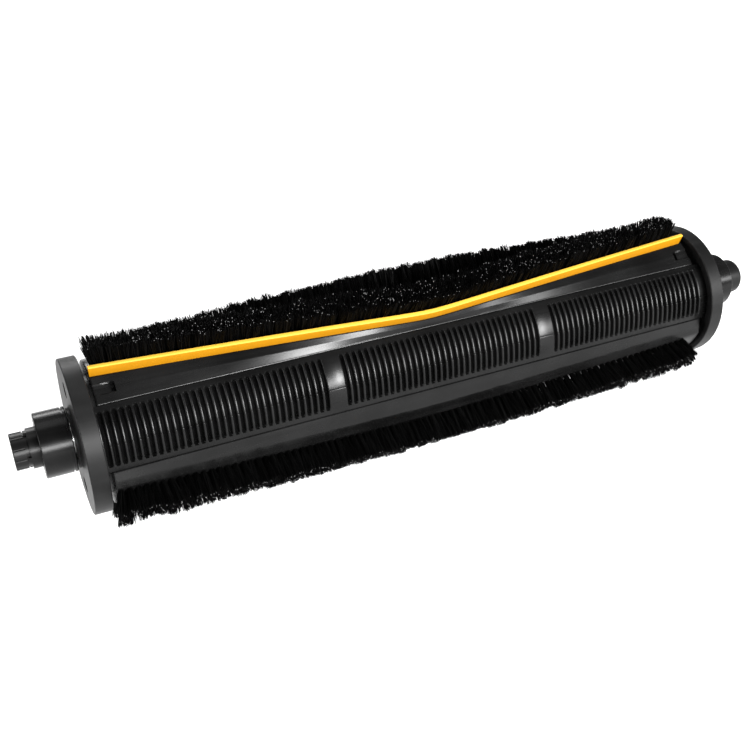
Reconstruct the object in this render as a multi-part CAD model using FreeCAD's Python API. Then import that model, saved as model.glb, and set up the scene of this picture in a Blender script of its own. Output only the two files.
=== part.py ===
import FreeCAD
import Part
import math
import os

# Roller brush of a wet and dry floor scrubber.
# The roller's axis is X, its drive end is at -X and its idler end at +X.
# Angles are counted about X from the front (-Y) up towards the top (+Z).
# While the model is built, X = 0 is midway between the two end flanges.
# At export everything moves along X by one amount, so that the origin lies in
# the middle of the whole assembly.

# ---- driving dimensions, mm and degrees ----
ROLLER_SPAN = 378.0        # over the outer faces of the two end flanges
FLANGE_RIM = 2.8           # the flanges stand this far out over the carriers' land
FLANGE_T = 8.8
RECESS_DEPTH = 2.5         # shallow cup in each flange's inner face
FLANGE_BOSS_H = 1.2
RIM_ROUND = 0.6

CORE_R = 33.0              # ribbed panels
SEAT_DROP = 2.0            # the carriers' seat lies this much lower than the panels
SHELL_T = 2.0              # thickness of the shells under the carriers
PANEL_FROM = -5.0          # front ribbed panel, first and last angle
PANEL_TO = 54.0
SEAM_ANGLE = 19.0          # where the two half shells meet
SLOT_PITCH = 3.5
SLOT_WIDTH = 1.9
SLOT_DEPTH = 2.6
SLOT_MARGIN = 5.5          # smooth land beside the slots, degrees
SLOT_COUNTS = (33, 34, 30)
SLOT_START = 11.07         # first slot, from the drive flange's outer face
BAND_STEP = 12.2           # from the last slot of one field to the first of the next

CARRIER_END_GAP = 2.4      # from the carrier's end to the flange rim
CARRIER_EDGE_H = 2.6       # thickness along the straight edges
LAND_H = 4.2               # outer face between the brush rows, above the panels
LAND_MARGIN = (3.0, 7.5)   # the land reaches this far past the lip and the rear row, degrees
CREASE_DROP = 1.5          # the crease lies this much lower than the land
CREASE_SHARE = 0.62        # where the crease lies between edge and land
CHEVRON = 19.0             # how far the rows swing forward at mid-length
CHEVRON_ROUND = 9.0        # length over which the point of the chevron is rounded

LIP_ANGLE = 80.5           # coloured lip, at the ends of the roller
LIP_T = 2.6
LIP_H = 5.2                # above the land
FRONT_ROW_ANGLE = 89.5     # the two bristle rows of the upper carrier, at its ends
REAR_ROW_ANGLE = 154.5
ROW_ROOT_W = 8.0
ROW_TIP_W = 13.0
ROW_H = 14.3               # above the land
CHANNEL_DEPTH = 2.6        # rows and lip stand in channels of the carrier
CHANNEL_GAP = 0.05
ROW_END_GAP = 1.0          # from the row's end to the carrier's end

TAB_ANGLE = 66.5           # snap tab at each end of a carrier
TAB_LENGTH = 8.5
TAB_WIDTH = 5.4
TAB_RECESS = 0.7
TAB_SLOT_W = 2.0
HOOK_X = (60.0, 150.0)     # carrier hooks, either side of the middle
HOOK_ANGLE = 114.5
HOOK_LENGTH = 8.0
HOOK_WIDTH = 6.0
HOOK_BARB = 1.0
HOOK_REACH = 1.6           # below the inside of the shell
HOOK_GAP = 0.25

PLUG_LENGTH = 16.0
PLUG_HUB_WALL = 3.5
PLUG_HUB_EXTRA = 8.0
PLUG_KEY_W = 5.0
PLUG_GAP = 0.1
PLUG_KEY_COVER = 0.4       # of shell, between a key and the bottom of the slots
PLUG_PIN_R = 1.5
DISC_X = (45.0, 105.0)     # stiffening discs inside the core, either side of the middle
DISC_T = 3.0
DISC_HUB_T = 9.0

SCREW_INSET = 2.8          # from the inside of the shells to the screws' circle
SCREW_ANGLES = (97.0, 283.0)
SCREW_R = 1.75
SCREW_HEAD_R = 3.3
SCREW_HEAD_H = 2.4
SCREW_LENGTH = 12.0
SCREW_GAP = 0.1
COUNTERBORE_R = 4.3
COUNTERBORE_DEPTH = 5.6
SCREW_DRIVE_R = 1.3
SCREW_DRIVE_DEPTH = 1.4

SHAFT_R = 6.0
SHAFT_GAP = 0.05
FLAT_DEPTH = 1.1           # flats at the drive end
TAPPED_R = 2.5
TAPPED_DEPTH = 14.0
END_SCREW_R = 2.4
END_SCREW_HEAD_R = 4.0
END_SCREW_HEAD_H = 2.8
END_SCREW_REACH = 10.0
END_SCREW_DRIVE_R = 1.8
END_SCREW_DRIVE_DEPTH = 1.6

HOUSING_WALL = 2.6
HOUSING_FROM = 2.0         # gap between the flange face and the housing
BEARING_FROM = 5.8
BEARING_W = 8.0
BEARING_R = 14.0
BEARING_GAP = 0.1
BALL_BITE = 0.4            # how deep each ball sits in the race's shoulder
BALL_R = 2.0
BALL_COUNT = 9
BALL_GAP = 0.05
CAGE_T = 1.0
CAGE_W = 5.6
SPACER_T = 2.0
SEAL_FROM = 2.8
SEAL_W = 1.5
SEAL_GAP = 0.5
CLIP_T = 1.0
CLIP_DEPTH = 0.7
CLIP_MOUTH = 24.0
GROOVE_FROM = 3.4          # from the flange face, round the outside of the housing
GROOVE_W = 0.8
GROOVE_DEPTH = 0.7
DRIVE_HOUSING_LIP = 3.6    # how far each housing reaches past its bearing
IDLER_HOUSING_LIP = 15.2

DOG_T = 4.2                # drive dog, plain part, round the shaft
DOG_MOUTH_GAP = 1.1
DOG_PLAIN_L = 4.6
DOG_START_GAP = 0.8
DOG_NECK_DROP = 1.6
DOG_NECK_W = 1.9
DOG_TIP_DROP = 0.9
DOG_TIP_L = 6.1
DOG_FLOOR = 1.3            # from the shaft's end to the neck
DOG_FLUTES = 10
DOG_FLUTE_R = 0.7
DOG_FLUTE_DEPTH = 0.3
DOG_LUGS = 4
DOG_LUG_W = 2.4
DOG_LUG_GAP = 0.4          # between a lug and the tip
DOG_SOCKET_R = 4.6
DOG_SOCKET_DEPTH = 7.4
NOSE_R = 10.6              # idler nose
NOSE_L = 14.0
NOSE_ROUND = 2.5
NOSE_SPIGOT_R = 6.0
NOSE_SPIGOT_L = 5.0
SCREW_SPACE_GAP = 1.0      # room round the end screw's washer inside the idler housing
SCREW_SPACE_L = 6.5
WASHER_T = 1.3

# ---- values that follow from them ----
SEAT_R = CORE_R - SEAT_DROP
CORE_BORE_R = SEAT_R - SHELL_T
KEY_TOP_R = CORE_R - SLOT_DEPTH - PLUG_KEY_COVER
LAND_R = CORE_R + LAND_H
LIP_TIP_R = LAND_R + LIP_H
ROW_TIP_R = LAND_R + ROW_H
SECTOR_GAP = 0.3
RECESS_R = LAND_R + SECTOR_GAP
FLANGE_R = LAND_R + FLANGE_RIM
SCREW_CIRCLE_R = CORE_BORE_R - SCREW_INSET
HOUSING_R = BEARING_R + HOUSING_WALL
FLANGE_BOSS_R = HOUSING_R - HOUSING_WALL / 2.0
SPACER_R = SHAFT_R + SPACER_T
PLUG_HUB_R = SHAFT_R + PLUG_HUB_WALL
RACE_T = (BEARING_R - SHAFT_R) / 2.0 - BALL_R + BALL_BITE
SHAFT_FLAT = SHAFT_R - FLAT_DEPTH
DOG_R = SHAFT_R + DOG_T
DOG_NECK_R = DOG_R - DOG_NECK_DROP
DOG_TIP_R = DOG_R - DOG_TIP_DROP
BEARING_TO = BEARING_FROM + BEARING_W
DRIVE_HOUSING_TO = BEARING_TO + DRIVE_HOUSING_LIP
IDLER_HOUSING_TO = BEARING_TO + IDLER_HOUSING_LIP
DOG_PLAIN_TO = DRIVE_HOUSING_TO + DOG_PLAIN_L
DOG_TO = DOG_PLAIN_TO + DOG_NECK_W + DOG_TIP_L
NOSE_TO = IDLER_HOUSING_TO + NOSE_L
HALF = ROLLER_SPAN / 2.0
RIM_X = HALF - FLANGE_T
CORE_X = RIM_X + RECESS_DEPTH
CARRIER_X = RIM_X - CARRIER_END_GAP
CARRIER_INNER_R = SEAT_R + 0.2
EDGE_R = CARRIER_INNER_R + CARRIER_EDGE_H
CREASE_R = LAND_R - CREASE_DROP
LAND_FROM = LIP_ANGLE - LAND_MARGIN[0]
LAND_TO = REAR_ROW_ANGLE + LAND_MARGIN[1]
RACE_SHOULDER_R = SHAFT_R + RACE_T - BALL_BITE
SCREW_SPACE_R = RACE_SHOULDER_R + SCREW_SPACE_GAP
SHAFT_END = HALF + DOG_PLAIN_TO - DOG_FLOOR
PITCH_R = (SHAFT_R + BEARING_R) / 2.0
LEFT_END = HALF + DOG_TO
RIGHT_END = HALF + NOSE_TO
SHIFT_X = (LEFT_END - RIGHT_END) / 2.0
FULL_TURN = 360.0
STATION_SHARES = (-1.0, -0.8, -0.6, -0.4, -0.2, -0.07, 0.0, 0.07, 0.2, 0.4, 0.6, 0.8, 1.0)
V = FreeCAD.Vector
AXIS = V(1, 0, 0)


def turn(shape, angle):
    """A copy of the shape, turned about X from the front to the given angle."""
    out = shape.copy()
    out.rotate(V(0, 0, 0), AXIS, -angle)
    return out


def point(x, radius, angle):
    a = math.radians(angle)
    return V(x, -radius * math.cos(a), radius * math.sin(a))


def cylinder(x0, x1, radius):
    return Part.makeCylinder(radius, x1 - x0, V(x0, 0, 0), AXIS)


def ring(x0, x1, outer, inner):
    return cylinder(x0, x1, outer).cut(cylinder(x0 - 1.0, x1 + 1.0, inner))


def sector(x0, x1, outer, inner, first, last):
    """Part of a ring between two angles."""
    corners = [V(x0, -inner, 0), V(x1, -inner, 0), V(x1, -outer, 0), V(x0, -outer, 0)]
    face = Part.Face(Part.makePolygon(corners + corners[:1]))
    return turn(face.revolve(V(0, 0, 0), AXIS, first - last), first)


def block(x0, x1, r0, r1, width, angle):
    """A box that stands radially at the given angle."""
    box = Part.makeBox(x1 - x0, r1 - r0, width, V(x0, -r1, -width / 2.0))
    return turn(box, angle)


def chevron_swing(x):
    """How far the rows have swung forward at x: none at the ends, all of it in the middle."""
    reach = math.hypot(CARRIER_X, CHEVRON_ROUND) - CHEVRON_ROUND
    rise = math.hypot(x, CHEVRON_ROUND) - CHEVRON_ROUND
    return CHEVRON * (1.0 - rise / reach)


def loft_along(half_length, outline_at):
    """A solid through the outlines at a few stations along X. All lofts share the inner stations."""
    wires = []
    for share in STATION_SHARES:
        x = share * (half_length if abs(share) == 1.0 else CARRIER_X)
        corners = [point(x, r, a) for r, a in outline_at(x)]
        wires.append(Part.makePolygon(corners + corners[:1]))
    return Part.makeLoft(wires, True, True)


def arc_points(radius, first, last, count):
    return [(radius, first + (last - first) * i / count) for i in range(count + 1)]


def carrier_outline(x):
    """Section of a carrier: straight outer edges, and a land that swings with the rows."""
    swing = chevron_swing(x)
    edge0, edge1 = PANEL_TO + SECTOR_GAP, PANEL_FROM + 180.0 - SECTOR_GAP
    land0, land1 = LAND_FROM - swing, LAND_TO - swing
    crease0 = edge0 + CREASE_SHARE * (land0 - edge0)
    crease1 = edge1 - CREASE_SHARE * (edge1 - land1)
    outer = [(EDGE_R, edge0), (CREASE_R, crease0)]
    outer += arc_points(LAND_R, land0, land1, 16)
    outer += arc_points((CREASE_R + EDGE_R) / 2.0, crease1, edge1, 6)
    return outer + arc_points(CARRIER_INNER_R, edge1, edge0, 24)


def row_outline(x, angle, r0, r1, w0, w1):
    """Section of a row or lip that stands radially and swings with the chevron. It widens
    only above the land."""
    middle = angle - chevron_swing(x)
    h0, h1 = math.degrees(w0 / 2.0 / r0), math.degrees(w1 / 2.0 / r1)
    h_land = math.degrees(w0 / 2.0 / LAND_R)
    return [(r0, middle - h0), (LAND_R, middle - h_land), (r1, middle - h1), (r1, middle),
            (r1, middle + h1), (LAND_R, middle + h_land), (r0, middle + h0), (r0, middle)]


def row(angle, half_length, r1, w0, w1, grow=0.0):
    r0 = LAND_R - CHANNEL_DEPTH
    return loft_along(half_length,
                      lambda x: row_outline(x, angle, r0, r1, w0 + 2 * grow, w1 + 2 * grow))


def make_core_shell(first):
    """A half shell with the slotted panels at its edges and the carrier's seat between them."""
    shell = sector(-CORE_X, CORE_X, CORE_R, CORE_BORE_R, first, first + 180.0)
    seat_x = CARRIER_X + CHANNEL_GAP
    panel_end = PANEL_TO if first < 90.0 else PANEL_TO + 180.0
    seat = sector(-seat_x, seat_x, CORE_R + 1.0, SEAT_R, panel_end,
                  panel_end + 180.0 - (PANEL_TO - PANEL_FROM))
    shell = shell.cut(seat)
    cutters = []
    for x in slot_positions():
        x0, x1 = x - SLOT_WIDTH / 2.0, x + SLOT_WIDTH / 2.0
        for low, high in panel_slots(first):
            cutters.append(sector(x0, x1, CORE_R + 1.0, CORE_R - SLOT_DEPTH, low, high))
    shell = shell.cut(cutters)
    for side in (-1, 1):
        keys = [block(*sorted((side * (CORE_X + 1.0), side * (CORE_X - PLUG_LENGTH - PLUG_GAP))),
                      CORE_BORE_R - 1.0, KEY_TOP_R + PLUG_GAP, PLUG_KEY_W + 2 * PLUG_GAP, angle)
                for angle in (SEAM_ANGLE, SEAM_ANGLE + 180.0)]
        shell = shell.cut(keys)
    windows = []
    for x in hook_positions():
        reach = HOOK_LENGTH / 2.0 + HOOK_GAP
        windows.append(block(x - reach, x + reach + HOOK_BARB, CORE_BORE_R - 2.0, SEAT_R + 1.0,
                             HOOK_WIDTH + 2 * HOOK_GAP, HOOK_ANGLE + first - SEAM_ANGLE))
    return shell.cut(windows)


def slot_positions():
    x = SLOT_START - HALF
    places = []
    for count in SLOT_COUNTS:
        places += [x + i * SLOT_PITCH for i in range(count)]
        x = places[-1] + BAND_STEP
    return places


def panel_slots(first):
    """The slots' angles on this half shell, above and below the two seams."""
    low, high = PANEL_FROM + SLOT_MARGIN, PANEL_TO - SLOT_MARGIN
    base = first - SEAM_ANGLE
    return [(base + SEAM_ANGLE - 1.0, base + high), (base + low + 180.0, base + SEAM_ANGLE + 181.0)]


def hook_positions():
    return [side * x for x in HOOK_X for side in (-1, 1)]


def make_carrier():
    body = loft_along(CARRIER_X, carrier_outline)
    row_x = CARRIER_X - ROW_END_GAP
    channels = [row(angle, row_x + CHANNEL_GAP, LAND_R + 2.0, ROW_ROOT_W, ROW_ROOT_W, CHANNEL_GAP)
                for angle in (FRONT_ROW_ANGLE, REAR_ROW_ANGLE)]
    channels.append(row(LIP_ANGLE, CARRIER_X + 1.0, LAND_R + 2.0, LIP_T, LIP_T, CHANNEL_GAP))
    for channel in channels:
        body = body.cut(channel)
    for side in (-1, 1):
        tab = sorted((side * (CARRIER_X + 1.0), side * (CARRIER_X - TAB_LENGTH)))
        slot = sorted((side * (CARRIER_X - TAB_LENGTH),
                       side * (CARRIER_X - TAB_LENGTH - TAB_SLOT_W)))
        body = body.cut(block(*tab, CREASE_R - 1.4 * TAB_RECESS, LAND_R, TAB_WIDTH, TAB_ANGLE))
        body = body.cut(block(*slot, EDGE_R - 1.0, LAND_R, TAB_WIDTH, TAB_ANGLE))
    for x in hook_positions():
        half = HOOK_LENGTH / 2.0
        stem = block(x - half, x + half, CORE_BORE_R - HOOK_REACH, EDGE_R - 1.0,
                     HOOK_WIDTH, HOOK_ANGLE)
        barb = block(x + half - 0.1, x + half + HOOK_BARB, CORE_BORE_R - HOOK_REACH,
                     CORE_BORE_R - 0.2, HOOK_WIDTH, HOOK_ANGLE)
        body = body.fuse(stem).fuse(barb)
    return body.removeSplitter()


def make_row(angle):
    return row(angle, CARRIER_X - ROW_END_GAP, ROW_TIP_R, ROW_ROOT_W, ROW_TIP_W)


def make_lip():
    return row(LIP_ANGLE, CARRIER_X, LIP_TIP_R, LIP_T, LIP_T)


def mirrored(shape, side):
    """Parts are described for the +X end; the -X end is their mirror image."""
    if side > 0:
        return shape
    return shape.mirror(V(0, 0, 0), AXIS)


def make_flange(side):
    body = cylinder(RIM_X, HALF, FLANGE_R)
    rims = [e for e in body.Edges if isinstance(e.Curve, Part.Circle)]
    body = body.makeFillet(RIM_ROUND, rims)
    body = body.cut(cylinder(RIM_X - 1.0, CORE_X, RECESS_R))
    body = body.fuse(cylinder(HALF - 0.5, HALF + FLANGE_BOSS_H, FLANGE_BOSS_R))
    body = body.cut(cylinder(RIM_X - 1.0, HALF + FLANGE_BOSS_H + 1.0, SHAFT_R + SHAFT_GAP))
    for angle in SCREW_ANGLES:
        place = point(0, SCREW_CIRCLE_R, angle)
        hole = Part.makeCylinder(SCREW_R + SCREW_GAP, FLANGE_T + 2.0, V(RIM_X - 1.0, 0, 0) + place,
                                 AXIS)
        bore = Part.makeCylinder(COUNTERBORE_R, COUNTERBORE_DEPTH + 1.0,
                                 V(HALF - COUNTERBORE_DEPTH, 0, 0) + place, AXIS)
        body = body.cut(hole).cut(bore)
    return mirrored(body, side)


def make_end_plug(side):
    """The plug carries the flange screws and turns the shells with two keys at their seam."""
    x0 = CORE_X - PLUG_LENGTH
    body = cylinder(x0, CORE_X, CORE_BORE_R - PLUG_GAP)
    body = body.fuse(cylinder(x0 - PLUG_HUB_EXTRA, x0 + 1.0, PLUG_HUB_R))
    for angle in (SEAM_ANGLE, SEAM_ANGLE + 180.0):
        body = body.fuse(block(x0, CORE_X, CORE_BORE_R - 2.0, KEY_TOP_R, PLUG_KEY_W, angle))
    body = body.cut(cylinder(x0 - PLUG_HUB_EXTRA - 1.0, CORE_X + 1.0, SHAFT_R + SHAFT_GAP))
    for angle in SCREW_ANGLES:
        place = point(0, SCREW_CIRCLE_R, angle)
        body = body.cut(Part.makeCylinder(SCREW_R + SHAFT_GAP, SCREW_LENGTH,
                                          V(CORE_X + 1.0 - SCREW_LENGTH, 0, 0) + place, AXIS))
    return mirrored(body.cut(plug_pin()), side)


def pin_x():
    return CORE_X - PLUG_LENGTH - PLUG_HUB_EXTRA / 2.0


def plug_pin():
    return Part.makeCylinder(PLUG_PIN_R, 2 * PLUG_HUB_R, V(pin_x(), 0, -PLUG_HUB_R), V(0, 0, 1))


def make_stiffening_discs():
    discs = []
    for x in [side * d for d in DISC_X for side in (-1, 1)]:
        disc = cylinder(x - DISC_T / 2.0, x + DISC_T / 2.0, CORE_BORE_R - PLUG_GAP)
        disc = disc.fuse(cylinder(x - DISC_HUB_T / 2.0, x + DISC_HUB_T / 2.0, PLUG_HUB_R))
        discs.append(disc.cut(cylinder(x - DISC_HUB_T, x + DISC_HUB_T, SHAFT_R + SHAFT_GAP)))
    return Part.makeCompound(discs)


def make_shaft():
    x0 = -SHAFT_END
    x1 = HALF + BEARING_TO
    body = cylinder(x0, x1, SHAFT_R)
    for side in (-1, 1):
        flat = Part.makeBox(HALF, 2 * SHAFT_R, SHAFT_R, V(-HALF - DRIVE_HOUSING_TO - HALF,
                            -SHAFT_R, SHAFT_FLAT if side > 0 else -SHAFT_FLAT - SHAFT_R))
        body = body.cut(flat)
        body = body.cut(mirrored(plug_pin(), side))
    body = body.cut(cylinder(x0 - 1.0, x0 + TAPPED_DEPTH, TAPPED_R))
    return body.cut(cylinder(x1 - TAPPED_DEPTH, x1 + 1.0, TAPPED_R))


def make_plug_pins():
    return Part.makeCompound([mirrored(plug_pin(), side) for side in (-1, 1)])


def make_flange_screws(side):
    screws = []
    for angle in SCREW_ANGLES:
        seat = HALF - COUNTERBORE_DEPTH
        screw = cylinder(seat, seat + SCREW_HEAD_H, SCREW_HEAD_R)
        screw = screw.fuse(cylinder(seat - SCREW_LENGTH + COUNTERBORE_DEPTH, seat + 0.5, SCREW_R))
        screw = screw.cut(cylinder(seat + SCREW_HEAD_H - SCREW_DRIVE_DEPTH, seat + SCREW_HEAD_H + 1.0,
                                   SCREW_DRIVE_R))
        screw.translate(point(0, SCREW_CIRCLE_R, angle))
        screws.append(screw)
    return mirrored(Part.makeCompound(screws), side)


def ball_path(radius):
    middle = HALF + (BEARING_FROM + BEARING_TO) / 2.0
    return Part.makeTorus(PITCH_R, radius, V(middle, 0, 0), AXIS)


def make_inner_race(side):
    race = ring(HALF + BEARING_FROM, HALF + BEARING_TO, SHAFT_R + RACE_T, SHAFT_R + SHAFT_GAP)
    return mirrored(race.cut(ball_path(BALL_R + BALL_GAP)), side)


def make_outer_race(side):
    race = ring(HALF + BEARING_FROM, HALF + BEARING_TO, BEARING_R - SHAFT_GAP, BEARING_R - RACE_T)
    return mirrored(race.cut(ball_path(BALL_R + BALL_GAP)), side)


def ball_places():
    middle = HALF + (BEARING_FROM + BEARING_TO) / 2.0
    return [point(middle, PITCH_R, FULL_TURN * i / BALL_COUNT) for i in range(BALL_COUNT)]


def make_balls(side):
    return mirrored(Part.makeCompound([Part.makeSphere(BALL_R, p) for p in ball_places()]), side)


def make_cage(side):
    middle = HALF + (BEARING_FROM + BEARING_TO) / 2.0
    cage = ring(middle - CAGE_W / 2.0, middle + CAGE_W / 2.0,
                PITCH_R + CAGE_T / 2.0, PITCH_R - CAGE_T / 2.0)
    for place in ball_places():
        outward = V(0, place.y, place.z)
        cage = cage.cut(Part.makeCylinder(BALL_R + BEARING_GAP, BEARING_R, V(place.x, 0, 0), outward))
    return mirrored(cage, side)


def make_spacer(side):
    return mirrored(ring(HALF + FLANGE_BOSS_H, HALF + BEARING_FROM, SPACER_R,
                         SHAFT_R + SHAFT_GAP), side)


def make_seal(side):
    return mirrored(ring(HALF + SEAL_FROM, HALF + SEAL_FROM + SEAL_W, BEARING_R - SHAFT_GAP,
                         SPACER_R + SEAL_GAP), side)


def make_clip(side):
    """Retaining ring in a groove of the housing, open over a short arc."""
    x1 = HALF + BEARING_FROM - BEARING_GAP
    return mirrored(sector(x1 - CLIP_T, x1, BEARING_R + CLIP_DEPTH - SHAFT_GAP,
                           BEARING_R - RACE_T + CLIP_DEPTH, CLIP_MOUTH, FULL_TURN), side)


def make_housing(side, length, mouth_r):
    """Stationary bearing housing, held by the machine."""
    x0, x1 = HALF + HOUSING_FROM, HALF + length
    body = cylinder(x0, x1, HOUSING_R)
    outer = [e for e in body.Edges if isinstance(e.Curve, Part.Circle)]
    body = body.makeFillet(RIM_ROUND, outer)
    body = body.cut(cylinder(x0 - 1.0, HALF + BEARING_TO, BEARING_R))
    clip_x1 = HALF + BEARING_FROM - BEARING_GAP + SHAFT_GAP
    body = body.cut(cylinder(clip_x1 - CLIP_T - 2 * SHAFT_GAP, clip_x1, BEARING_R + CLIP_DEPTH))
    body = body.cut(ring(HALF + GROOVE_FROM, HALF + GROOVE_FROM + GROOVE_W, HOUSING_R + 1.0,
                         HOUSING_R - GROOVE_DEPTH))
    if side < 0:
        body = body.cut(cylinder(HALF, x1 + 1.0, mouth_r))
    else:
        body = body.cut(cylinder(HALF, HALF + BEARING_TO + SCREW_SPACE_L, mouth_r))
        body = body.cut(cylinder(x1 - NOSE_SPIGOT_L, x1 + 1.0, NOSE_SPIGOT_R))
    return mirrored(body, side)


def make_drive_dog():
    """Drive dog on the flats of the shaft: plain part, neck with lugs, fluted tip and socket."""
    x0 = HALF + BEARING_TO
    plain_x0 = x0 + DOG_START_GAP
    neck_x0 = HALF + DOG_PLAIN_TO
    tip_x0 = neck_x0 + DOG_NECK_W
    end = HALF + DOG_TO
    tip = cylinder(tip_x0, end, DOG_TIP_R)
    tip = tip.makeFillet(RIM_ROUND, [e for e in tip.Edges if e.BoundBox.XMin > end - 0.1])
    flutes = [turn(Part.makeCylinder(DOG_FLUTE_R, end - tip_x0,
                                     V(tip_x0, -DOG_TIP_R - DOG_FLUTE_R + DOG_FLUTE_DEPTH, 0), AXIS),
                   FULL_TURN * i / DOG_FLUTES) for i in range(DOG_FLUTES)]
    body = tip.cut(flutes)
    body = body.fuse(cylinder(x0, plain_x0 + 0.5, RACE_SHOULDER_R))
    body = body.fuse(cylinder(plain_x0, neck_x0, DOG_R))
    body = body.fuse(cylinder(neck_x0 - 0.5, tip_x0 + 0.5, DOG_NECK_R))
    lugs = [block(neck_x0 - 0.2, tip_x0 - DOG_LUG_GAP, DOG_NECK_R - 1.0, DOG_R, DOG_LUG_W,
                  FULL_TURN * i / DOG_LUGS) for i in range(DOG_LUGS)]
    body = body.fuse(lugs)
    body = body.cut(cylinder(x0 - 1.0, HALF + DRIVE_HOUSING_TO + SHAFT_GAP, SHAFT_R + SHAFT_GAP))
    flat_bore = cylinder(x0, SHAFT_END + SHAFT_GAP, SHAFT_R + SHAFT_GAP)
    flat = SHAFT_FLAT + SHAFT_GAP
    keep = Part.makeBox(LEFT_END, 4 * SHAFT_R, 2 * flat, V(0, -2 * SHAFT_R, -flat))
    body = body.cut(flat_bore.common(keep))
    body = body.cut(cylinder(SHAFT_END - 1.0, end, END_SCREW_R + SHAFT_GAP))
    return body.cut(cylinder(end - DOG_SOCKET_DEPTH, end + 1.0, DOG_SOCKET_R)).mirror(
        V(0, 0, 0), AXIS)


def end_screw(seat):
    """Cap screw whose head sits at the given x and points outwards."""
    body = cylinder(seat, seat + END_SCREW_HEAD_H, END_SCREW_HEAD_R)
    body = body.fuse(cylinder(seat - END_SCREW_REACH, seat + 0.5, END_SCREW_R))
    top = seat + END_SCREW_HEAD_H
    return body.cut(cylinder(top - END_SCREW_DRIVE_DEPTH, top + 1.0, END_SCREW_DRIVE_R))


def make_dog_screw():
    return mirrored(end_screw(HALF + DOG_TO - DOG_SOCKET_DEPTH), -1)


def make_shaft_washer():
    x0 = HALF + BEARING_TO
    return ring(x0, x0 + WASHER_T, RACE_SHOULDER_R, END_SCREW_R + BEARING_GAP)


def make_idler_nose():
    x0, x1 = HALF + IDLER_HOUSING_TO, HALF + NOSE_TO
    body = cylinder(x0, x1, NOSE_R)
    body = body.makeFillet(NOSE_ROUND, [e for e in body.Edges if e.BoundBox.XMin > x1 - 0.1])
    return body.fuse(cylinder(x0 - NOSE_SPIGOT_L + BEARING_GAP, x0 + 0.5, NOSE_SPIGOT_R - SHAFT_GAP))


def export(name, shape):
    out = shape.copy()
    out.translate(V(SHIFT_X, 0, 0))
    out.exportStep("parts/%s.step" % name)
    print(name, "solids", len(out.Solids), "valid", out.isValid(), "volume %.1f" % out.Volume)


os.makedirs("parts", exist_ok=True)
export("core_shell_upper", make_core_shell(SEAM_ANGLE))
export("core_shell_lower", make_core_shell(SEAM_ANGLE + 180.0))
export("stiffening_discs", make_stiffening_discs())
export("main_shaft", make_shaft())
export("plug_pins", make_plug_pins())

carrier = make_carrier()
half_turn_parts = {"carrier": carrier, "wiper_lip": make_lip(),
                   "leading_bristles": make_row(FRONT_ROW_ANGLE),
                   "trailing_bristles": make_row(REAR_ROW_ANGLE)}
for part_name, part_shape in half_turn_parts.items():
    export("upper_" + part_name, part_shape)
    export("lower_" + part_name, turn(part_shape, 180.0))

for end_name, end_side in (("drive", -1), ("idler", 1)):
    export(end_name + "_flange", make_flange(end_side))
    export(end_name + "_flange_screws", make_flange_screws(end_side))
    export(end_name + "_end_plug", make_end_plug(end_side))
    export(end_name + "_spacer", make_spacer(end_side))
    export(end_name + "_seal", make_seal(end_side))
    export(end_name + "_retaining_ring", make_clip(end_side))
    export(end_name + "_inner_race", make_inner_race(end_side))
    export(end_name + "_outer_race", make_outer_race(end_side))
    export(end_name + "_balls", make_balls(end_side))
    export(end_name + "_cage", make_cage(end_side))

export("drive_bearing_housing", make_housing(-1, DRIVE_HOUSING_TO, DOG_R + DOG_MOUTH_GAP))
export("idler_bearing_housing", make_housing(1, IDLER_HOUSING_TO, SCREW_SPACE_R))
export("drive_dog", make_drive_dog())
export("drive_dog_screw", make_dog_screw())
export("shaft_washer", make_shaft_washer())
export("shaft_end_screw", end_screw(HALF + BEARING_TO + WASHER_T))
export("idler_nose", make_idler_nose())
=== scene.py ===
import math

import bpy
import numpy as np
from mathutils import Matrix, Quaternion, Vector


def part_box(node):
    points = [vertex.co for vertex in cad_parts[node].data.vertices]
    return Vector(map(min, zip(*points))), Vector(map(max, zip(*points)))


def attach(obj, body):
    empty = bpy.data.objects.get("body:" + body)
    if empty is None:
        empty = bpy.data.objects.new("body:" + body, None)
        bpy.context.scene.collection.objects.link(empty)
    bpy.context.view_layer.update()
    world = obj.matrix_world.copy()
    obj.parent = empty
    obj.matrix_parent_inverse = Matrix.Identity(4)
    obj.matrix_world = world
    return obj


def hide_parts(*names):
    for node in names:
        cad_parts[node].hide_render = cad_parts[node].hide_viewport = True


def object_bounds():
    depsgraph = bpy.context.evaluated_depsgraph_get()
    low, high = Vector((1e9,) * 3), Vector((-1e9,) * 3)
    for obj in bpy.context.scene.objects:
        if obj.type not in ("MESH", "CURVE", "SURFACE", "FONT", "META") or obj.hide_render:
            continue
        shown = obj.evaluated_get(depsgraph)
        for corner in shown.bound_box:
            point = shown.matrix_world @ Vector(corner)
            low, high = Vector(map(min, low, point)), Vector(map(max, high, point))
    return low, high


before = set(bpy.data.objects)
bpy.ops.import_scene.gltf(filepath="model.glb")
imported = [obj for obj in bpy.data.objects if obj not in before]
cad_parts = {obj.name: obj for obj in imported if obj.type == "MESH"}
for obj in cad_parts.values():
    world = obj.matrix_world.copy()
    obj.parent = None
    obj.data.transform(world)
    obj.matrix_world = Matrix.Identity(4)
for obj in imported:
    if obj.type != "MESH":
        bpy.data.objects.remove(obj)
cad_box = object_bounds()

# ---- studio: pale floor, soft boxes, camera ----
# The roller lies on a white sweep. Low boxes at the front light the ribs and the crease of
# the carrier. Weaker ones overhead, at the drive end and at the back fill the rest.
MM = 0.001
LENS = 46.44
CAMERA_AT = Vector((-0.2247, -0.4206, 0.2781))
CAMERA_TO = Vector((-0.0282, 0.0055, -0.0115))
CAMERA_ROLL = -0.0092
FLOOR_HALF = 3.0
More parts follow.
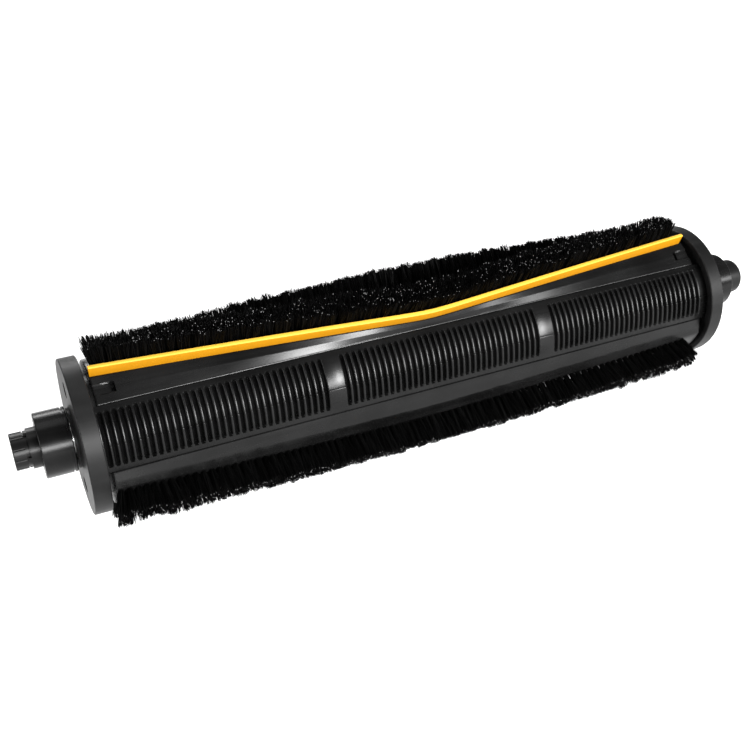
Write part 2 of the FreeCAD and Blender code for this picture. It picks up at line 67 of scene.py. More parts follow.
SOFT_BOXES = {
    "front_box": ((0.05, -1.58, 0.50), (0.0, 0.0, 0.0), 1.0, 0.30, 52.0),
    "idler_front_box": ((1.06, -1.36, 0.52), (0.1, 0.0, 0.0), 1.1, 0.30, 30.0),
    "crease_box": ((0.38, -1.33, 0.60), (0.0, 0.0, 0.0), 0.30, 0.42, 34.0),
    "overhead_box": ((0.1, 0.25, 1.5), (0.0, 0.0, 0.0), 1.6, 0.7, 7.0),
    "rear_box": ((0.25, 1.40, 0.75), (0.0, 0.0, 0.0), 1.5, 0.40, 22.0),
    "drive_end_box": ((-1.45, -0.20, 0.30), (-0.2, 0.0, 0.0), 0.7, 0.7, 14.0),
}

camera = bpy.data.objects.new("camera", bpy.data.cameras.new("camera"))
bpy.context.scene.collection.objects.link(camera)
camera.data.lens = LENS
camera.data.sensor_width = 36.0
camera.data.clip_start = 0.01
camera.location = CAMERA_AT
aimed = (CAMERA_TO - CAMERA_AT).to_track_quat("-Z", "Y")
camera.rotation_euler = (aimed @ Quaternion((0.0, 0.0, 1.0), CAMERA_ROLL)).to_euler()
bpy.context.scene.camera = camera
bpy.context.scene.view_settings.view_transform = "Standard"

for box_name, (place, target, width, height, power) in SOFT_BOXES.items():
    lamp = bpy.data.lights.new(box_name, "AREA")
    lamp.shape, lamp.size, lamp.size_y, lamp.energy = "RECTANGLE", width, height, power
    lamp_object = bpy.data.objects.new(box_name, lamp)
    lamp_object.location = place
    aim = Vector(target) - Vector(place)
    lamp_object.rotation_euler = aim.to_track_quat("-Z", "Y").to_euler()
    bpy.context.scene.collection.objects.link(lamp_object)

world = bpy.data.worlds.new("studio_air")
bpy.context.scene.world = world
world.use_nodes = True
world.node_tree.nodes["Background"].inputs["Color"].default_value = (1.0, 1.0, 1.0, 1.0)
world.node_tree.nodes["Background"].inputs["Strength"].default_value = 0.22

floor_z = cad_box[0][2]
floor_mesh = bpy.data.meshes.new("sweep")
floor_mesh.from_pydata([(-FLOOR_HALF, -FLOOR_HALF, floor_z), (FLOOR_HALF, -FLOOR_HALF, floor_z),
                        (FLOOR_HALF, FLOOR_HALF, floor_z), (-FLOOR_HALF, FLOOR_HALF, floor_z)],
                       [], [(0, 1, 2, 3)])
floor = bpy.data.objects.new("sweep", floor_mesh)
bpy.context.scene.collection.objects.link(floor)
paper = bpy.data.materials.new("white_paper")
paper.use_nodes = True
paper_shader = paper.node_tree.nodes["Principled BSDF"]
paper_shader.inputs["Base Color"].default_value = (0.5, 0.5, 0.5, 1.0)
paper_shader.inputs["Roughness"].default_value = 0.9
paper_shader.inputs["Emission Color"].default_value = (1.0, 1.0, 1.0, 1.0)
paper_shader.inputs["Emission Strength"].default_value = 0.76
floor_mesh.materials.append(paper)

# ---- core shells: slotted panels ----
# Two half shells of black moulded plastic meet along the middle of each slotted panel.
# Between the panels a lower seat carries the brush carrier. Each shell is one moulding.
CORE_R = 33.0 * MM
SEAT_R = 31.0 * MM
BORE_R = 29.0 * MM
PANEL_FROM, PANEL_TO, SEAM = -5.0, 54.0, 19.0
SLOT_LOW, SLOT_HIGH = 0.5, 48.5
SLOT_PITCH, SLOT_WIDTH, SLOT_DEPTH = 3.5 * MM, 1.9 * MM, 2.6 * MM
SLOT_COUNTS, SLOT_START, BAND_STEP = (33, 34, 30), 11.07 * MM, 12.2 * MM
RIB_EDGE = ((-0.30, -0.06, 0.0, 0.07, 0.27, 0.55, 0.8),  # past a slot's rim, and depth there, mm
            (SLOT_DEPTH / MM, 2.45, 1.1, 0.55, 0.17, 0.03, 0.0))
SEAM_ROUND, SEAM_ROUND_ANGLE = 0.10 * MM, 0.6
SEAM_SWELL, SEAM_SWELL_ANGLE = 0.30 * MM, 14.0
EDGE_TOLERANCE = 0.1  # degrees
CLOUD_WAVES, STREAK_WAVES = 38.0, 260.0
SHARP_ANGLE = math.radians(38.0)
HOUSING_GAP = 2.0 * MM
HALF_TURN = 180.0


class Value:
    """An output socket that can be added, subtracted, multiplied and raised."""

    def __init__(self, finish, socket):
        self.finish, self.socket = finish, socket

    def maths(self, operation, first, second):
        return self.finish.node("ShaderNodeMath", {"operation": operation}, {0: first, 1: second})

    def __add__(self, other):
        return self.maths("ADD", self, other)

    def __radd__(self, other):
        return self.maths("ADD", other, self)

    def __sub__(self, other):
        return self.maths("SUBTRACT", self, other)

    def __rsub__(self, other):
        return self.maths("SUBTRACT", other, self)

    def __mul__(self, other):
        return self.maths("MULTIPLY", self, other)

    def __rmul__(self, other):
        return self.maths("MULTIPLY", other, self)

    def __gt__(self, other):
        return self.maths("GREATER_THAN", self, other)

    def __pow__(self, other):
        return self.maths("POWER", self, other)

    def steps(self, low, high):
        """0 below low, 1 above high, and a smooth rise between them."""
        return self.finish.node("ShaderNodeMapRange", {"interpolation_type": "SMOOTHSTEP"},
                                {"Value": self, "From Min": low, "From Max": high})


class Finish:
    """A material: one Principled shader, and the nodes that feed it."""

    def __init__(self, name, **fixed):
        self.material = bpy.data.materials.new(name)
        self.material.use_nodes = True
        self.tree = self.material.node_tree
        self.shader = self.tree.nodes["Principled BSDF"]
        for key, value in fixed.items():
            self.shader.inputs[key.replace("_", " ")].default_value = value

    def give(self, target, value):
        if isinstance(value, Value):
            self.tree.links.new(value.socket, target)
        else:
            target.default_value = value

    def node(self, kind, settings, inputs, output=0):
        made = self.tree.nodes.new(kind)
        for key, value in settings.items():
            setattr(made, key, value)
        for key, value in inputs.items():
            self.give(made.inputs[key], value)
        return Value(self, made.outputs[output])

    def feed(self, **inputs):
        for key, value in inputs.items():
            self.give(self.shader.inputs[key.replace("_", " ")], value)

    def place(self):
        return self.node("ShaderNodeTexCoord", {}, {}, "Object")

    def noise(self, per_metre, detail=2.0, stretch=(1.0, 1.0, 1.0)):
        """Cloudy pattern, with this many waves in a metre along each axis."""
        scale = tuple(per_metre * share for share in stretch)
        seen = self.node("ShaderNodeMapping", {}, {"Vector": self.place(), "Scale": scale})
        return self.node("ShaderNodeTexNoise", {}, {"Vector": seen, "Scale": 1.0, "Detail": detail})

    def blend(self, share, first, second):
        mixed = self.tree.nodes.new("ShaderNodeMix")
        mixed.data_type = "RGBA"
        self.give(mixed.inputs[0], share)
        self.give(mixed.inputs[6], first)
        self.give(mixed.inputs[7], second)
        return Value(self, mixed.outputs[2])

    def trait(self, name):
        return self.node("ShaderNodeAttribute", {"attribute_name": name}, {}, "Fac")

    def bump(self, height, distance, strength=1.0):
        return self.node("ShaderNodeBump", {}, {"Height": height, "Distance": distance,
                                                "Strength": strength})


def grey(level, warm=0.0):
    return (level * (1.0 + warm), level, level * (1.0 - warm), 1.0)


def moulded(name, dark, light, rough, grain, grain_waves, **fixed):
    """Moulded plastic: cloudy tone, faint flow streaks along the length, and a fine grain."""
    finish = Finish(name, **fixed)
    cloud = finish.noise(CLOUD_WAVES, 4.0)
    streak = finish.noise(STREAK_WAVES, 2.0, (0.06, 1.0, 1.0))
    fine = finish.noise(grain_waves, 2.0)
    tone = finish.blend((cloud * 0.6 + streak * 0.4).steps(0.3, 0.72), grey(dark), grey(light))
    finish.feed(Base_Color=tone, Roughness=(cloud * 0.14 + streak * 0.10 + fine * 0.05) + (rough - 0.14),
                Normal=finish.bump(fine * 0.8 + streak * 0.2, grain))
    return finish


def add_piece(name, points, quads, triangles, body, material, stands_for):
    """A closed mesh from arrays of points and faces. If the volume that the faces enclose
    comes out negative, every face is turned over, so that all of them point outwards."""
    halves = np.concatenate([quads[:, [0, 1, 2]], quads[:, [0, 2, 3]], triangles])
    a, b, c = (points[halves[:, k]] for k in range(3))
    if np.einsum("ij,ij->", a, np.cross(b, c)) < 0.0:
        quads, triangles = quads[:, ::-1], triangles[:, ::-1]
    mesh = bpy.data.meshes.new(name)
    mesh.vertices.add(len(points))
    mesh.vertices.foreach_set("co", points.astype(np.float32).ravel())
    corners = np.concatenate([quads.ravel(), triangles.ravel()]).astype(np.int32)
    mesh.loops.add(len(corners))
    mesh.loops.foreach_set("vertex_index", corners)
    starts = np.concatenate([np.arange(len(quads)) * 4,
                             len(quads) * 4 + np.arange(len(triangles)) * 3]).astype(np.int32)
    mesh.polygons.add(len(starts))
    mesh.polygons.foreach_set("loop_start", starts)
    mesh.update(calc_edges=True)
    mesh.validate()
    piece = bpy.data.objects.new(name, mesh)
    bpy.context.scene.collection.objects.link(piece)
    mesh.shade_smooth()
    mesh.set_sharp_from_angle(angle=SHARP_ANGLE)
    mesh.materials.append(material)
    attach(piece, body)
    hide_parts(*stands_for)
    return piece


def grid_faces(rows, columns):
    """Quads between neighbours of a grid of points, row by row."""
    index = np.arange(rows * columns).reshape(rows, columns)
    return np.stack([index[:-1, :-1], index[:-1, 1:], index[1:, 1:], index[1:, :-1]], -1)


def walled(outer, inner):
    """Points and quads of a closed wall: the outer grid, the inner grid turned over, and
    strips along the four edges that join the two."""
    rows, columns = outer.shape[:2]
    shift = rows * columns
    index = np.arange(shift).reshape(rows, columns)
    rim = np.concatenate([index[0, :], index[1:, -1], index[-1, -2::-1], index[-2:0:-1, 0]])
    after = np.roll(rim, -1)
    top = grid_faces(rows, columns).reshape(-1, 4)
    edge = np.stack([after, rim, rim + shift, after + shift], -1)
    return (np.concatenate([outer.reshape(-1, 3), inner.reshape(-1, 3)]),
            np.concatenate([top, top[:, ::-1] + shift, edge]))


NO_TRIANGLES = np.zeros((0, 3), int)


def around(x, radius, angle):
    """Points at radius and angle about the roller's axis, from the front up over the top."""
    turn = np.radians(angle)
    return np.stack(np.broadcast_arrays(x, -radius * np.cos(turn), radius * np.sin(turn)), -1)


SPAN = 378.0 * MM
FLANGE_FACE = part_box("idler_bearing_housing")[0][0] - HOUSING_GAP
MIDDLE = FLANGE_FACE - SPAN / 2.0
core_low, core_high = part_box("core_shell_upper")


def slot_centres():
    """X of every slot: three fields at one pitch, with a plain band between fields."""
    x, centres = MIDDLE - SPAN / 2.0 + SLOT_START, []
    for count in SLOT_COUNTS:
        field = x + np.arange(count) * SLOT_PITCH
        centres.append(field)
        x = field[-1] + BAND_STEP
    return np.concatenate(centres)


def slot_depth(x, angle, low, high):
    """Depth of the panel at x and angle: full inside a slot's rounded outline, none on the
    ribs, with a small round at the rim. The outline's distance decides."""
    centres = slot_centres()
    across = np.min(np.abs(x[:, None] - centres[None, :]), 1)[:, None]
    along = np.maximum(low - angle, angle - high)[None, :] * math.pi / HALF_TURN * CORE_R
    beyond = np.maximum(along + SLOT_WIDTH / 2.0, 0.0)
    distance = np.hypot(across, beyond) - SLOT_WIDTH / 2.0
    return np.interp(distance / MM, *RIB_EDGE) * MM


def shell_grid():
    """Outer surface of one shell over half a turn from the seam: panel radius less the slots,
    the lower seat between the panels, a tiny round where the shells meet, and a slight swell
    of the lower half towards the seam. The grid is finest across the ribs and slot ends."""
    steps = np.array([-1.75, -1.5, -1.22, -1.02, -0.93, 0.0, 0.93, 1.02, 1.22, 1.5]) * MM
    x = np.unique(np.concatenate([(slot_centres()[:, None] + steps).ravel(),
                                  [core_low[0], core_high[0], slot_centres()[-1] + SLOT_PITCH / 2.0]]))
    x = x[(x >= core_low[0]) & (x <= core_high[0])]
    end = np.array([-2.1, -1.8, -1.4, -0.9, -0.2, 0.7])
    front = np.concatenate([SEAM + np.array([0.0, 0.2, 0.5, 1.2, 3.0]), np.arange(26.0, 46.0, 4.0),
                            SLOT_HIGH + end, [PANEL_TO - 1.5, PANEL_TO - 0.4, PANEL_TO]])
    seat = np.linspace(PANEL_TO + 0.2, HALF_TURN + PANEL_FROM - 0.2, 8)
    rear = HALF_TURN + np.concatenate([[PANEL_FROM, PANEL_FROM + 0.4, PANEL_FROM + 1.5],
                                       SLOT_LOW - end[::-1], [4.5, 8.0, 11.5, 15.0],
                                       SEAM - np.array([1.2, 0.5, 0.2, 0.0])])
    angle = np.concatenate([front, seat, rear])
    upper = angle < 90.0
    depth = np.where(upper, slot_depth(x, angle, SLOT_LOW, SLOT_HIGH),
                     slot_depth(x, angle - HALF_TURN, SLOT_LOW, SLOT_HIGH))
    from_seam = np.minimum(np.abs(angle - SEAM), np.abs(angle - SEAM - HALF_TURN))
    depth = depth + SEAM_ROUND * np.clip(1.0 - from_seam / SEAM_ROUND_ANGLE, 0.0, 1.0) ** 2
    swell = np.clip((angle - SEAM - HALF_TURN) / SEAM_SWELL_ANGLE + 1.0, 0.0, 1.0)
    depth = depth - SEAM_SWELL * swell ** 2
    on_seat = (angle > PANEL_TO + EDGE_TOLERANCE) & (angle < HALF_TURN + PANEL_FROM - EDGE_TOLERANCE)
    radius = np.where(on_seat, SEAT_R, CORE_R - depth)
    return x, angle, radius


shell_x, shell_angle, shell_radius = shell_grid()
core_black = moulded("core_black_plastic", 0.001, 0.003, 0.28, 0.02 * MM, 2600.0,
                     Specular_IOR_Level=0.16)
for shell_name, shell_turn in (("core_shell_upper", 0.0), ("core_shell_lower", HALF_TURN)):
    shell_outer = around(shell_x[:, None], shell_radius, shell_angle[None, :] + shell_turn)
    shell_inner = around(shell_x[:, None], BORE_R, shell_angle[None, :] + shell_turn)
    shell_points, shell_quads = walled(shell_outer, shell_inner)
    add_piece(shell_name + "_ribbed", shell_points, shell_quads, NO_TRIANGLES, "roller",
              core_black.material, [shell_name])

# ---- brush carriers ----
# Each carrier is a long black moulding that clips over the seat. Its edges are straight, and a
# raised land swings with the chevron of the bristles, so that the faces between them warp.
CARRIER_HALF = 177.8 * MM
CARRIER_FOOT_R, EDGE_R, LAND_R = 31.2 * MM, 33.8 * MM, 37.2 * MM
CREASE_R = LAND_R - 1.5 * MM
CREASE_SHARE = 0.56
SIDE_GAP = 0.3
LAND_FROM, LAND_TO = 77.5, 162.0
CHEVRON, CHEVRON_ROUND = 19.0, 9.0 * MM
TAB_ANGLE, TAB_LENGTH, TAB_WIDTH, TAB_DROP = 66.5, 8.5 * MM, 5.4 * MM, 0.75 * MM
TAB_SLOT = 2.0 * MM


def swing(x):
    """How far the rows have swung forward at x, in degrees: a rounded V over the length."""
    reach = math.hypot(CARRIER_HALF, CHEVRON_ROUND) - CHEVRON_ROUND
    rise = np.hypot(x - MIDDLE, CHEVRON_ROUND) - CHEVRON_ROUND
    return CHEVRON * (1.0 - rise / reach)


def smooth(value, low, high):
    share = np.clip((value - low) / (high - low), 0.0, 1.0)
    return share * share * (3.0 - 2.0 * share)


def carrier_grid():
    """Outer face of a carrier: corners at edge, crease, land and far edge, joined by straight
    runs in each section. The corners are eased, and the snap tabs are pressed in."""
    inner = np.linspace(-CARRIER_HALF + 15.0 * MM, CARRIER_HALF - 15.0 * MM, 120)
    slot_steps = [-0.25, -0.05, 0.05, 0.2, 1.0, 1.8, 1.95, 2.05, 2.3, 3.2, 4.4]
    end = np.concatenate([[0.0, 0.15, 0.5], np.arange(1.0, TAB_LENGTH / MM - 0.4, 0.8),
                          TAB_LENGTH / MM + np.array(slot_steps)]) * MM
    x = MIDDLE + np.concatenate([-CARRIER_HALF + end, inner, CARRIER_HALF - end[::-1]])
    lean = swing(x)
    edge0 = np.full_like(x, PANEL_TO + SIDE_GAP)
    edge1 = np.full_like(x, HALF_TURN + PANEL_FROM - SIDE_GAP)
    land0, land1 = LAND_FROM - lean, LAND_TO - lean
    crease0 = edge0 + CREASE_SHARE * (land0 - edge0)
    crease1 = edge1 - CREASE_SHARE * (edge1 - land1)
    ease = 0.28 * MM

    def run(r0, a0, r1, a1, shares):
        """Points on the straight line from (r0, a0) to (r1, a1) in every section."""
        first, last = around(x, r0, a0), around(x, r1, a1)
        t = np.asarray(shares)[None, :, None]
        return first[:, None, :] * (1.0 - t) + last[:, None, :] * t

    wall = [around(x, CARRIER_FOOT_R, edge0)[:, None, :], around(x, EDGE_R - 1.6 * ease, edge0)[:, None, :],
            around(x, EDGE_R - 0.6 * ease, edge0 + 0.12)[:, None, :],
            around(x, EDGE_R - 0.1 * ease, edge0 + 0.5)[:, None, :]]
    lower = run(EDGE_R, edge0 + 0.9, CREASE_R, crease0, np.linspace(0.0, 0.97, 26))
    upper = run(CREASE_R, crease0, LAND_R, land0, np.linspace(0.03, 0.97, 18))
    arc = np.linspace(0.0, 1.0, 22)
    land = around(x[:, None], LAND_R, land0[:, None] + (land1 - land0)[:, None] * arc[None, :])
    far = run(LAND_R, land1, CREASE_R, crease1, np.linspace(0.05, 0.95, 6))
    last = run(CREASE_R, crease1, EDGE_R, edge1 - 0.9, np.linspace(0.03, 1.0, 8))
    down = [around(x, EDGE_R - 0.4 * ease, edge1 - 0.3)[:, None, :],
            around(x, EDGE_R - 1.5 * ease, edge1)[:, None, :],
            around(x, CARRIER_FOOT_R, edge1)[:, None, :]]
    skin = np.concatenate(wall + [lower, upper, land, far, last] + down, 1)
    radius = np.hypot(skin[..., 1], skin[..., 2])
    angle = np.degrees(np.arctan2(skin[..., 2], -skin[..., 1]))
    angle = np.where(angle < 0.0, angle + 2 * HALF_TURN, angle)
    from_end = CARRIER_HALF - np.abs(skin[..., 0] - MIDDLE)
    across = np.abs(angle - TAB_ANGLE) * math.pi / HALF_TURN * radius
    band = 1.0 - smooth(across, TAB_WIDTH / 2.0 - 0.25 * MM, TAB_WIDTH / 2.0 + 0.05 * MM)
    tab = band * (1.0 - smooth(from_end, TAB_LENGTH - 0.1 * MM, TAB_LENGTH + 0.1 * MM))
    gap = band * (smooth(from_end, TAB_LENGTH, TAB_LENGTH + 0.1 * MM)
                  - smooth(from_end, TAB_LENGTH + TAB_SLOT - 0.1 * MM, TAB_LENGTH + TAB_SLOT))
    pressed = radius - tab * TAB_DROP - gap * (radius - CARRIER_FOOT_R - 0.3 * MM)
    pressed = pressed - 0.35 * MM * (1.0 - smooth(from_end, 0.0, 0.4 * MM)) * (radius > EDGE_R - ease)
    foot = np.linspace(0.0, 1.0, skin.shape[1])[None, :]
    under = around(x[:, None], CARRIER_FOOT_R - 0.02 * MM,
                   edge0[:, None] + (edge1 - edge0)[:, None] * foot)
    share = pressed / radius
    return np.stack([skin[..., 0], skin[..., 1] * share, skin[..., 2] * share], -1), under


carrier_skin, carrier_under = carrier_grid()
carrier_black = moulded("carrier_black_plastic", 0.0015, 0.004, 0.26, 0.012 * MM, 1500.0,
                        Specular_IOR_Level=0.16)
for carrier_name, facing in (("upper_carrier", 1.0), ("lower_carrier", -1.0)):
    half_turned = np.array([1.0, facing, facing])
    carrier_points, carrier_quads = walled(carrier_skin * half_turned, carrier_under * half_turned)
    add_piece(carrier_name + "_clip_on", carrier_points, carrier_quads, NO_TRIANGLES, "roller",
              carrier_black.material, [carrier_name])

# ---- wiper lips ----
# A strip of orange-yellow rubber stands in a channel of each carrier, just ahead of the
# bristles. It is extruded, so it has a rounded tip, and it is cut square at the ends.
LIP_ANGLE, LIP_T, LIP_TIP_R, LIP_FOOT_R = 80.5, 2.6 * MM, 42.4 * MM, 35.5 * MM
LIP_ROUND = 0.7 * MM
IDLER_CUT = 2.4 * MM


def lip_rings():
    """Section of a strip with a rounded tip, carried along the chevron. The height above the
    foot runs from 0 to 1 and is kept for the colour and for the painted highlight on the tip."""
    quarter = np.linspace(0.0, math.pi / 2.0, 6)
    rise = LIP_TIP_R - LIP_FOOT_R
    side = np.linspace(0.0, rise - LIP_ROUND, 7)[:-1]
    height = np.concatenate([side, rise - LIP_ROUND + LIP_ROUND * np.sin(quarter)])
    half = np.concatenate([np.full(6, LIP_T / 2.0), LIP_T / 2.0 - LIP_ROUND * (1.0 - np.cos(quarter))])
    height = np.concatenate([height, height[::-1]])
    across = np.concatenate([-half, half[::-1]])
    x = MIDDLE + np.linspace(-CARRIER_HALF + 0.3 * MM, CARRIER_HALF - 0.3 * MM, 150)
    share = height / rise
    cut = IDLER_CUT * smooth(x, x[-1] - 12.0 * MM, x[-1])[:, None] * (1.0 - share)[None, :]
    middle = np.radians(LIP_ANGLE - swing(x))[:, None]
    radius = LIP_FOOT_R + height[None, :]
    y = -radius * np.cos(middle) + across[None, :] * np.sin(middle)
    z = radius * np.sin(middle) + across[None, :] * np.cos(middle)
    return np.stack([x[:, None] - cut, y, z], -1), np.broadcast_to(share, (len(x), len(share)))


def hose(rings):
    """Points, quads and triangles of a closed tube: each ring joined to the next, and a fan
    to a middle point over each end."""
    rows, columns = rings.shape[:2]
    index = np.arange(rows * columns).reshape(rows, columns)
    beside = np.roll(index, -1, 1)
    quads = np.stack([index[:-1], beside[:-1], beside[1:], index[1:]], -1).reshape(-1, 4)
    first, last = rows * columns, rows * columns + 1
    near = np.stack([beside[0], index[0], np.full(columns, first)], -1)
    far = np.stack([index[-1], beside[-1], np.full(columns, last)], -1)
    points = np.concatenate([rings.reshape(-1, 3), rings[0].mean(0)[None], rings[-1].mean(0)[None]])
    return points, quads, np.concatenate([near, far])


def keep_trait(piece, name, values):
    """One number for every point of a piece, which its material can read."""
    column = piece.data.attributes.new(name, "FLOAT", "POINT")
    column.data.foreach_set("value", np.ascontiguousarray(values, dtype=np.float32))


lip_yellow = Finish("lip_yellow_rubber", Specular_IOR_Level=0.12)
lip_height = lip_yellow.trait("height")
lip_wave = lip_yellow.noise(120.0, 3.0, (0.3, 1.0, 1.0))
lip_fine = lip_yellow.noise(2200.0, 2.0)
# body tone: a little darker towards the foot and lighter towards the tip, mixed with a wavy noise
lip_body = lip_yellow.blend((lip_height + (lip_wave - 0.5) * 0.5).steps(0.25, 0.95),
                            (0.20, 0.084, 0.0008, 1.0), (0.235, 0.102, 0.0012, 1.0))
# painted highlight: the top tenth of the strip, over the rounded tip, turns a light yellow
lip_tone_with_painted_tip_highlight = lip_yellow.blend(lip_height.steps(0.9, 1.0), lip_body, (0.52, 0.30, 0.035, 1.0))
lip_yellow.feed(Base_Color=lip_tone_with_painted_tip_highlight, Roughness=lip_wave * 0.2 + 0.33,
                Normal=lip_yellow.bump(lip_fine + lip_wave, 0.02 * MM))
lip_strip, lip_share = lip_rings()
for lip_name, facing in (("upper_wiper_lip", 1.0), ("lower_wiper_lip", -1.0)):
    lip_points, lip_quads, lip_caps = hose(lip_strip * np.array([1.0, facing, facing]))
    lip = add_piece(lip_name + "_strip", lip_points, lip_quads, lip_caps, "roller",
                    lip_yellow.material, [lip_name])
    keep_trait(lip, "height", np.concatenate([lip_share.ravel(), [0.5, 0.5]]))

# ---- bristle rows ----
# Tufts of black nylon stand in three staggered lines in each row. The filaments splay a
# little and their cut tips are uneven. A few tips get a light grey base colour, a painted glint.
TUFT_PITCH, TUFT_R = 4.1 * MM, 1.65 * MM
TUFT_LINES = np.array([-2.7, 0.0, 2.7]) * MM
FILAMENTS = 62
FILAMENT_R = 0.17 * MM
TUFT_FLARE, ROW_FLARE = 0.085, 0.14  # sideways run for each unit of height
BRISTLE_ROOT_R, BRISTLE_TIP_R = 36.3 * MM, 51.5 * MM
RINGS, SIDES = 4, 3
ROWS = {  # angle, seed, first and last x, splay at the drive end, spread of the leans
    "upper_leading_bristles": (89.5, 11, -175.5, 171.0, 0.20, 1.0),
    "upper_trailing_bristles": (154.5, 12, -168.5, 171.0, 0.0, 1.0),
    "lower_leading_bristles": (269.5, 13, -175.5, 171.0, 0.2, 1.0),
    "lower_trailing_bristles": (334.5, 14, -177.2, 169.0, 0.30, 1.1),
}


def tuft_plan(rng, first, last, end_splay, spread):
    """Root places of all filaments of a row: x along it, and offset across it. A tuft is a
    round patch, and its own lean and length are shared by its filaments."""
    count = int((last - first) * MM / TUFT_PITCH)
    place = np.linspace(first * MM + TUFT_R, last * MM - TUFT_R - TUFT_PITCH / 2.0, count)
    x, line = np.meshgrid(place, np.arange(3), indexing="ij")
    x = x + np.where(line % 2, TUFT_PITCH / 2.0, 0.0)
    tufts = x.size
    x, line = x.ravel(), line.ravel()
    lean_x = rng.normal(0.0, 0.045 * spread, tufts)
    lean_x = lean_x - end_splay * np.exp((first * MM - x) / (6.0 * MM))
    lean_y = rng.normal(0.0, 0.05 * spread, tufts)
    length = rng.normal(0.0, 0.35 * MM, tufts)
    patch = np.sqrt(rng.random((tufts, FILAMENTS))) * TUFT_R
    spin = rng.random((tufts, FILAMENTS)) * 2.0 * math.pi
    dx, dy = patch * np.cos(spin), patch * np.sin(spin)
    root_x = x[:, None] + dx * 0.8
    root_y = TUFT_LINES[line][:, None] + dy * 0.8
    go_x = lean_x[:, None] + dx / TUFT_R * TUFT_FLARE + rng.normal(0.0, 0.035 * spread, dx.shape)
    go_y = (lean_y + TUFT_LINES[line] / TUFT_LINES[-1] * ROW_FLARE)[:, None] + dy / TUFT_R * TUFT_FLARE \
        + rng.normal(0.0, 0.04, dx.shape)
    reach = length[:, None] - np.abs(rng.normal(0.0, 0.45 * MM, dx.shape)) \
        - 2.2 * MM * (rng.random(dx.shape) ** 9)
    return tuple(part.ravel() for part in (root_x, root_y, go_x, go_y, reach))


def filaments(angle, seed, first, last, end_splay, spread):
    """Each filament is a three-sided strand from its root outwards. It follows its lean, and
    bends a little more towards the tip: offset = lean times height, plus bend times its square."""
    rng = np.random.default_rng(seed)
    root_x, root_y, go_x, go_y, reach = tuft_plan(rng, first, last, end_splay, spread)
    count = len(root_x)
    length = BRISTLE_TIP_R - BRISTLE_ROOT_R + reach
    bend_x, bend_y = rng.normal(0.0, 1.6, count), rng.normal(0.0, 1.8, count)
    share = np.linspace(0.0, 1.0, RINGS)[None, :]
    height = length[:, None] * share
    along = root_x[:, None] + go_x[:, None] * height + bend_x[:, None] * height ** 2
    across = root_y[:, None] + go_y[:, None] * height + bend_y[:, None] * height ** 2
    turn = rng.random(count)[:, None] * 2.0 * math.pi + np.arange(SIDES)[None, :] * 2.0 * math.pi / SIDES
    thick = FILAMENT_R * rng.uniform(0.8, 1.1, count)[:, None, None]
    px = along[:, :, None] + thick * np.cos(turn)[:, None, :]
    py = across[:, :, None] + thick * np.sin(turn)[:, None, :]
    pr = np.broadcast_to((BRISTLE_ROOT_R + height)[:, :, None], px.shape)
    middle = np.radians(angle - swing(MIDDLE + root_x))[:, None, None]
    y = -pr * np.cos(middle) + py * np.sin(middle)
    z = pr * np.sin(middle) + py * np.cos(middle)
    points = np.stack([MIDDLE + px, y, z], -1)
    tone = rng.random(count)
    return points, np.broadcast_to(share, (count, RINGS)), tone, root_x


def strand_faces(count):
    """Side quads and end triangles of many strands that all have the same rings."""
    index = np.arange(count * RINGS * SIDES).reshape(count, RINGS, SIDES)
    beside = np.roll(index, -1, 2)
    quads = np.stack([index[:, :-1], beside[:, :-1], beside[:, 1:], index[:, 1:]], -1).reshape(-1, 4)
    return quads, np.concatenate([index[:, 0, ::-1], index[:, -1, :]])


bristle = Finish("bristle_black_nylon", Specular_IOR_Level=0.04)
bristle_tone, bristle_share = bristle.trait("tone"), bristle.trait("share")
bristle_dark = bristle.blend(bristle_tone, grey(0.0002), grey(0.001))
# painted glint: about one cut tip in twenty-five is coloured light grey, standing in for light caught on it
painted_tip_glint = (bristle_share > 0.985) * (bristle_tone > 0.96)
bristle.feed(Base_Color=bristle.blend(painted_tip_glint * 0.9, bristle_dark, grey(0.30)),
             Roughness=bristle_tone * 0.2 + 0.42)
for row_name, row_plan in ROWS.items():
    strands, strand_share, strand_tone, strand_x = filaments(*row_plan)
    for half_name, chosen in (("drive_half", strand_x < 0.0), ("idler_half", strand_x >= 0.0)):
        own = strands[chosen]
        own_quads, own_ends = strand_faces(len(own))
        tufts = add_piece(row_name + "_" + half_name, own.reshape(-1, 3), own_quads, own_ends, "roller",
                          bristle.material, [row_name])
        keep_trait(tufts, "share", np.repeat(strand_share[chosen].ravel(), SIDES))
        keep_trait(tufts, "tone", np.repeat(strand_tone[chosen], RINGS * SIDES))

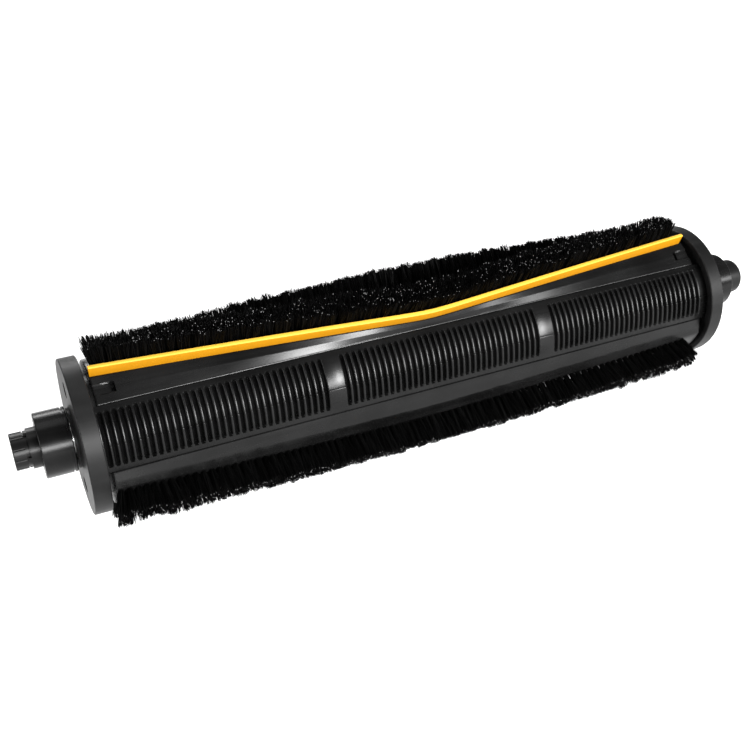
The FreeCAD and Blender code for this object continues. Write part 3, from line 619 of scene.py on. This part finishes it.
# ---- end flanges and other CAD nodes ----
# The flanges are dark grey mouldings with a fine grained face. The housings are glossy
# acetal, the drive dog and the nose are satin.
flange_grey = moulded("flange_grey_plastic", 0.003, 0.006, 0.42, 0.015 * MM, 3200.0,
                      Specular_IOR_Level=0.12)
housing_black = moulded("housing_black_acetal", 0.0015, 0.004, 0.26, 0.006 * MM, 900.0,
                        Specular_IOR_Level=0.14)
dog_black = moulded("dog_black_plastic", 0.0015, 0.004, 0.34, 0.012 * MM, 1800.0,
                    Specular_IOR_Level=0.15)
nose_black = moulded("nose_black_elastomer", 0.0015, 0.004, 0.42, 0.015 * MM, 1800.0,
                     Specular_IOR_Level=0.12)
seal_black = moulded("seal_black_rubber", 0.006, 0.012, 0.6, 0.02 * MM, 1800.0)
cage_cream = moulded("cage_natural_polyamide", 0.40, 0.55, 0.45, 0.01 * MM, 1500.0)
steel = moulded("ground_steel", 0.45, 0.60, 0.32, 0.004 * MM, 3000.0, Metallic=1.0)
race_steel = moulded("polished_bearing_steel", 0.55, 0.70, 0.2, 0.002 * MM, 3000.0, Metallic=1.0)
oxide_steel = moulded("black_oxide_steel", 0.004, 0.012, 0.45, 0.01 * MM, 3000.0, Metallic=0.4)
NODE_FINISH = {
    "drive_flange": flange_grey, "idler_flange": flange_grey,
    "drive_bearing_housing": housing_black, "idler_bearing_housing": housing_black,
    "drive_dog": dog_black, "idler_nose": nose_black, "drive_end_plug": core_black,
    "idler_end_plug": core_black, "stiffening_discs": core_black, "main_shaft": steel,
    "plug_pins": steel, "drive_spacer": steel, "idler_spacer": steel, "shaft_washer": steel,
    "drive_seal": seal_black, "idler_seal": seal_black, "drive_cage": cage_cream,
    "idler_cage": cage_cream, "drive_inner_race": race_steel, "idler_inner_race": race_steel,
    "drive_outer_race": race_steel, "idler_outer_race": race_steel, "drive_balls": race_steel,
    "idler_balls": race_steel, "drive_retaining_ring": oxide_steel,
    "idler_retaining_ring": oxide_steel, "drive_flange_screws": oxide_steel,
    "idler_flange_screws": oxide_steel, "drive_dog_screw": oxide_steel,
    "shaft_end_screw": oxide_steel,
}
for node_name, node_finish in NODE_FINISH.items():
    node_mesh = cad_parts[node_name].data
    node_mesh.materials.clear()
    node_mesh.materials.append(node_finish.material)
